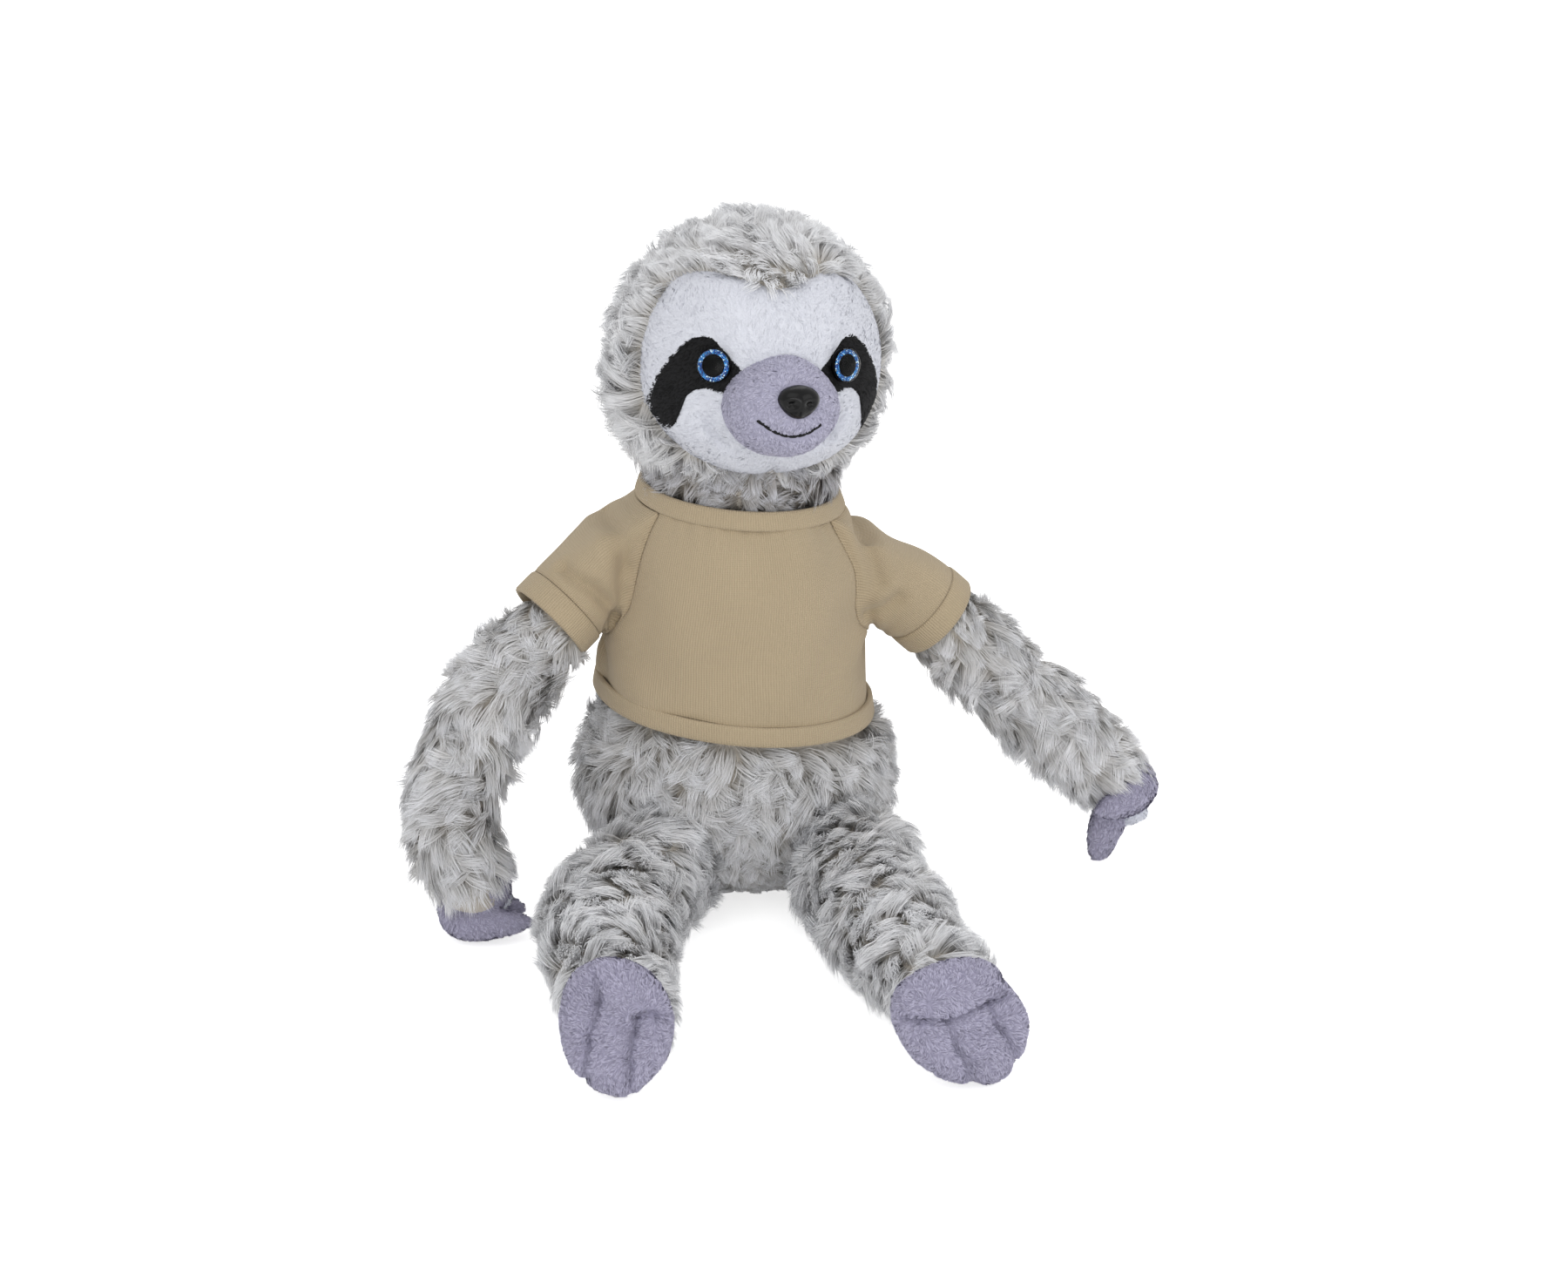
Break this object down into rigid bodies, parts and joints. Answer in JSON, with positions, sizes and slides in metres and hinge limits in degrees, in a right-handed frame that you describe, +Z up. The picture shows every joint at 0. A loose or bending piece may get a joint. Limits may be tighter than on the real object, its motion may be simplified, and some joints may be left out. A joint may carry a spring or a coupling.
{
  "type": "plush sloth",
  "caption": "Seated long-armed plush sloth with safety eyes and nose, a short-sleeved knit shirt, and a head, arms, hands, legs and feet that flop at their seams.",
  "frame": {"origin": "middle of the flat that the seat rests on", "axes": "+Z up, the toy looks along -Y, its stretched left arm points along +X"},
  "size_m": [0.283, 0.2289, 0.2518],
  "materials": {
    "fur": "long pale grey pile, whiter at the tips",
    "stuffing": "loose polyester fibre",
    "pellets": "cotton pouch of plastic pellets",
    "face_plush": "white short plush",
    "patch_plush": "black short plush",
    "mauve_plush": "mauve short plush",
    "muzzle_plush": "lilac grey short plush",
    "knit": "fine rib knit, khaki",
    "black_plastic": "polished black",
    "glitter": "blue with fine silver glitter",
    "clear_plastic": "clear polished acrylic",
    "washer": "moulded white",
    "thread": "black stranded thread",
    "hook_pad": "white hook-and-loop tape"
  },
  "bodies": {
    "torso": {"torso_skin": "fur", "torso_stuffing": "stuffing", "pellet_pouch": "pellets", "shirt_front": "knit", "shirt_back": "knit", "shirt_hem": "knit", "shirt_neckband": "knit"},
    "neck": {"neck_skin": "fur", "neck_stuffing": "stuffing"},
    "head": {"head_skin": "fur", "head_stuffing": "stuffing", "face_panel": "face_plush", "right_eye_patch": "patch_plush", "left_eye_patch": "patch_plush", "muzzle": "muzzle_plush", "muzzle_stuffing": "stuffing", "nose": "black_plastic", "nose_washer": "washer", "mouth_stitch": "thread", "right_eye_base": "black_plastic", "right_eye_glitter": "glitter", "right_eye_dome": "clear_plastic", "right_eye_washer": "washer", "left_eye_base": "black_plastic", "left_eye_glitter": "glitter", "left_eye_dome": "clear_plastic", "left_eye_washer": "washer"},
    "right_upper_arm": {"right_upper_arm_skin": "fur", "right_upper_arm_stuffing": "stuffing", "right_sleeve": "knit", "right_cuff": "knit"},
    "right_forearm": {"right_forearm_skin": "fur", "right_forearm_stuffing": "stuffing"},
    "right_hand": {"right_hand": "mauve_plush", "right_palm_pad": "hook_pad"},
    "right_leg": {"right_leg_skin": "fur", "right_leg_stuffing": "stuffing"},
    "right_foot": {"right_foot": "mauve_plush"},
    "left_upper_arm": {"left_upper_arm_skin": "fur", "left_upper_arm_stuffing": "stuffing", "left_sleeve": "knit", "left_cuff": "knit"},
    "left_forearm": {"left_forearm_skin": "fur", "left_forearm_stuffing": "stuffing"},
    "left_hand": {"left_hand": "mauve_plush", "left_palm_pad": "hook_pad"},
    "left_leg": {"left_leg_skin": "fur", "left_leg_stuffing": "stuffing"},
    "left_foot": {"left_foot": "mauve_plush"}
  },
  "joints": [
    {"name": "neck_turn", "type": "hinge", "parent": "torso", "child": "neck", "pos_m": [0.004, -0.003, 0.163], "axis": [0, 0, 1], "range_deg": [-60, 60]},
    {"name": "neck_nod", "type": "hinge", "parent": "neck", "child": "head", "pos_m": [0.004, -0.003, 0.163], "axis": [0.9936, 0.1132, 0], "range_deg": [-16, 20]},
    {"name": "right_shoulder", "type": "hinge", "parent": "torso", "child": "right_upper_arm", "pos_m": [-0.046, -0.002, 0.124], "axis": [0, 1, 0], "range_deg": [-12, 75]},
    {"name": "right_elbow", "type": "hinge", "parent": "right_upper_arm", "child": "right_forearm", "pos_m": [-0.09598, -0.02398, 0.07696], "axis": [0.1321, -0.9445, 0.3009], "range_deg": [-30, 15]},
    {"name": "right_wrist", "type": "hinge", "parent": "right_forearm", "child": "right_hand", "pos_m": [-0.10102, -0.044, 0.01634], "axis": [0, -1, 0], "range_deg": [-20, 20]},
    {"name": "left_shoulder", "type": "hinge", "parent": "torso", "child": "left_upper_arm", "pos_m": [0.046, -0.002, 0.124], "axis": [0, -1, 0], "range_deg": [-14, 75]},
    {"name": "left_elbow", "type": "hinge", "parent": "left_upper_arm", "child": "left_forearm", "pos_m": [0.09556, 0.00094, 0.08004], "axis": [0, 1, 0], "range_deg": [-30, 30]},
    {"name": "left_wrist", "type": "hinge", "parent": "left_forearm", "child": "left_hand", "pos_m": [0.14652, 0.00094, 0.033], "axis": [0, 1, 0], "range_deg": [-20, 20]},
    {"name": "right_hip", "type": "hinge", "parent": "torso", "child": "right_leg", "pos_m": [-0.036, -0.046, 0.025], "axis": [-1, 0, 0], "range_deg": [-65, 35]},
    {"name": "right_ankle", "type": "hinge", "parent": "right_leg", "child": "right_foot", "pos_m": [-0.05614, -0.152, 0.023], "axis": [-1, 0, 0], "range_deg": [-20, 20]},
    {"name": "left_hip", "type": "hinge", "parent": "torso", "child": "left_leg", "pos_m": [0.036, -0.046, 0.025], "axis": [-1, 0, 0], "range_deg": [-65, 35]},
    {"name": "left_ankle", "type": "hinge", "parent": "left_leg", "child": "left_foot", "pos_m": [0.05402, -0.152, 0.023], "axis": [-1, 0, 0], "range_deg": [-20, 20]}
  ]
}
